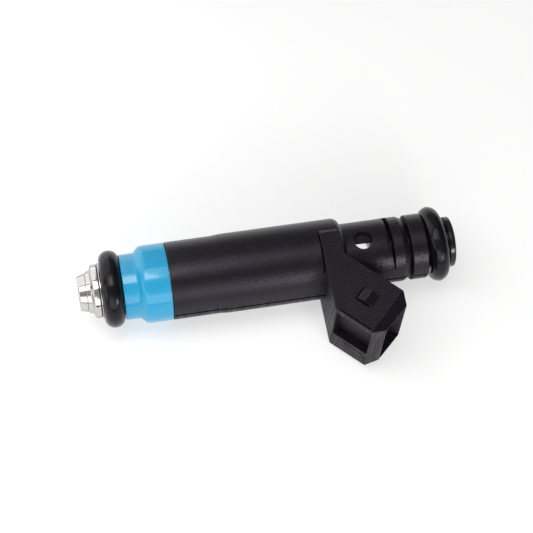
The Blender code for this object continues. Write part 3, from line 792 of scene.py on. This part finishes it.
bmesh.ops.recalc_face_normals(bm, faces=bm.faces)
spring = piece(bm, "closing_spring", STEEL_DULL, "stainless", "return_spring", sharp=60)
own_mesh(spring)

# ---- inner parts keep their CAD shape ----------------------------------------------------
INNER = {"calibration_sleeve": STEEL_DULL, "armature": IRON, "needle_tube": STEEL_DULL, "valve_ball": STEEL,
         "nonmagnetic_shell": STEEL_DULL, "coil_bobbin": NYLON, "coil_winding": COPPER, "coil_can": IRON,
         "flux_washer": IRON, "valve_seat": STEEL, "needle_guide": STEEL_DULL, "orifice_plate": STEEL_DULL}
for name, look in INNER.items():
    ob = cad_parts[name]
    ob.data.materials.clear()
    ob.data.materials.append(look)

# ---- camera -----------------------------------------------------------------------------
tilt, lean, spin = math.radians(6.963), math.radians(25.771), math.radians(8.031)
U = Vector((1, 0, 0))
P = Vector((0, -ca, sa))
Q = Vector((0, sa, ca))
e1 = P * math.cos(lean) - Q * math.sin(lean)
e2 = P * math.sin(lean) + Q * math.cos(lean)
Xc = U * math.cos(tilt) + e2 * math.sin(tilt)
Zc = U * math.sin(tilt) - e2 * math.cos(tilt)
right = Xc * math.cos(spin) + e1 * math.sin(spin)
down = -Xc * math.sin(spin) + e1 * math.cos(spin)
eye = AXIS + U * (36.5 * MM) + (-Xc * 1.344 - e1 * 0.128 - Zc * 303.57) * MM
cam = bpy.data.cameras.new("camera")
cam.sensor_width = 36.0
cam.lens = 1628.0 / 533.0 * 36.0
cam.clip_start, cam.clip_end = 0.01, 20.0
camera = bpy.data.objects.new("camera", cam)
camera.matrix_world = Matrix(((right.x, -down.x, -Zc.x, eye.x), (right.y, -down.y, -Zc.y, eye.y),
                              (right.z, -down.z, -Zc.z, eye.z), (0, 0, 0, 1)))
bpy.context.scene.collection.objects.link(camera)
bpy.context.scene.camera = camera


# ---- floor and light ---------------------------------------------------------------------
bm = bmesh.new()
bmesh.ops.create_grid(bm, x_segments=8, y_segments=8, size=1.6)
floor = as_object(bm, "floor")
fl = bpy.data.materials.new("white_table")
fl.use_nodes = True
fb = fl.node_tree.nodes["Principled BSDF"]
fb.inputs["Base Color"].default_value = (0.60, 0.60, 0.60, 1)
fb.inputs["Roughness"].default_value = 0.9
fb.inputs["Specular IOR Level"].default_value = 0.0
fb.inputs["Emission Color"].default_value = (1, 1, 1, 1)
fb.inputs["Emission Strength"].default_value = 0.42
floor.data.materials.append(fl)


def panel(name, at, aim, wide, high, watts, colour=(1, 1, 1)):
    li = bpy.data.lights.new(name, 'AREA')
    li.shape = 'RECTANGLE'
    li.size, li.size_y = wide, high
    li.energy = watts
    li.color = colour
    ob = bpy.data.objects.new(name, li)
    ob.location = at
    ob.rotation_mode = 'QUATERNION'
    ob.rotation_quaternion = (Vector(aim) - Vector(at)).to_track_quat('-Z', 'Y')
    ob.visible_camera = False
    bpy.context.scene.collection.objects.link(ob)
    return ob


def radiance(value, wide, high):
    """Watts that give a panel of this size a radiance of value."""
    return value * pi * wide * high


# overhead softbox, in two lengths: brighter over the nozzle end
panel("overhead_left", (-0.24, 0.071, 0.5), (-0.24, 0.071, 0.0), 0.5, 0.303, radiance(1.6, 0.5, 0.303))
panel("overhead_right", (0.0825, 0.071, 0.5), (0.0825, 0.071, 0.0), 0.145, 0.303, radiance(1.0, 0.145, 0.303))
# long softbox low in front
panel("front_low", (0.1, -0.6, 0.25), (0.1, 0.0, 0.25), 1.4, 0.36, radiance(1.45, 1.4, 0.36))
panel("front_left", (-0.325, -0.6, 0.50), (-0.325, 0.0, 0.50), 0.60, 0.20, radiance(1.1, 0.60, 0.20))
# small lamp close above the collar
panel("spot", (-0.030, 0.006, 0.0715), (-0.028, 0.0, 0.0), 0.024, 0.024, radiance(3.6, 0.024, 0.024))
# small lamp near the rail end, in front, and a softbox past the nozzle
panel("lamp", (0.058, -0.114, 0.060), (0.02, 0.0, 0.007), 0.034, 0.024, radiance(12.0, 0.034, 0.024))
panel("left_low", (-0.62, -0.10, 0.17), (0.0, 0.0, 0.0), 0.36, 0.26, radiance(1.3, 0.36, 0.26))
# pale card behind the nozzle, and a dark one in front of it
panel("back_card", (-0.156, 0.08, 0.077), (-0.156, 0.0, 0.077), 0.268, 0.154, radiance(0.85, 0.268, 0.154))
flag = as_object(prism([(-75.0, -140.0), (-22.0, -140.0), (-22.0, -141.0), (-75.0, -141.0)],
                       lambda x, y, z: Vector((x * MM, y * MM, z * MM)), 0.0, 17.0), "flag")
flag.visible_camera = False
flag.visible_shadow = False
flag.visible_diffuse = False
dark = bpy.data.materials.new("black_card")
dark.use_nodes = True
dark.node_tree.nodes["Principled BSDF"].inputs["Base Color"].default_value = (0.01, 0.01, 0.01, 1)
flag.data.materials.append(dark)

world = bpy.data.worlds.new("studio")
bpy.context.scene.world = world
world.use_nodes = True
wt = world.node_tree
bg = wt.nodes["Background"]
tc = wt.nodes.new("ShaderNodeTexCoord")
sep = wt.nodes.new("ShaderNodeSeparateXYZ")
wt.links.new(tc.outputs["Generated"], sep.inputs[0])
neg = wt.nodes.new("ShaderNodeMath")
neg.operation = 'MULTIPLY'
neg.inputs[1].default_value = -1.0
wt.links.new(sep.outputs["Y"], neg.inputs[0])
turn = wt.nodes.new("ShaderNodeMath")
turn.operation = 'ARCTAN2'
wt.links.new(sep.outputs["Z"], turn.inputs[0])
wt.links.new(neg.outputs[0], turn.inputs[1])
scale = wt.nodes.new("ShaderNodeMapRange")
scale.inputs["From Min"].default_value = 0.0
scale.inputs["From Max"].default_value = pi
wt.links.new(turn.outputs[0], scale.inputs["Value"])
sky = wt.nodes.new("ShaderNodeValToRGB")
wt.links.new(scale.outputs["Result"], sky.inputs["Fac"])
# height over the front horizon, in degrees, and the studio's brightness there
stops = [(0, (0.40, 0.40, 0.40)), (7, (0.43, 0.43, 0.43)), (38, (0.5, 0.5, 0.5)),
         (48, (0.43, 0.43, 0.43)), (53, (0.36, 0.30, 0.28)), (61, (0.34, 0.28, 0.26)), (70, (0.38, 0.38, 0.38)),
         (112, (0.38, 0.38, 0.38)), (113.5, (0.03, 0.03, 0.03)), (118.5, (0.03, 0.03, 0.03)), (120, (0.36, 0.36, 0.36)),
         (180, (0.34, 0.34, 0.34))]
el = sky.color_ramp.elements
while len(el) < len(stops):
    el.new(0.5)
for e, (deg, col) in zip(el, stops):
    e.position = deg / 180.0
    e.color = (*col, 1.0)
# the studio is darker to the right
fade = wt.nodes.new("ShaderNodeMapRange")
fade.inputs["From Min"].default_value = 0.30
fade.inputs["From Max"].default_value = 0.62
fade.inputs["To Min"].default_value = 1.0
fade.inputs["To Max"].default_value = 0.25
wt.links.new(sep.outputs["X"], fade.inputs["Value"])
dim = wt.nodes.new("ShaderNodeMix")
dim.data_type = 'RGBA'
dim.blend_type = 'MULTIPLY'
dim.inputs[0].default_value = 1.0
wt.links.new(sky.outputs["Color"], dim.inputs[6])
wt.links.new(fade.outputs["Result"], dim.inputs[7])
wt.links.new(dim.outputs[2], bg.inputs["Color"])
bg.inputs["Strength"].default_value = 1.0

bpy.context.scene.view_settings.view_transform = 'Standard'
bpy.context.scene.view_settings.exposure = 0.16
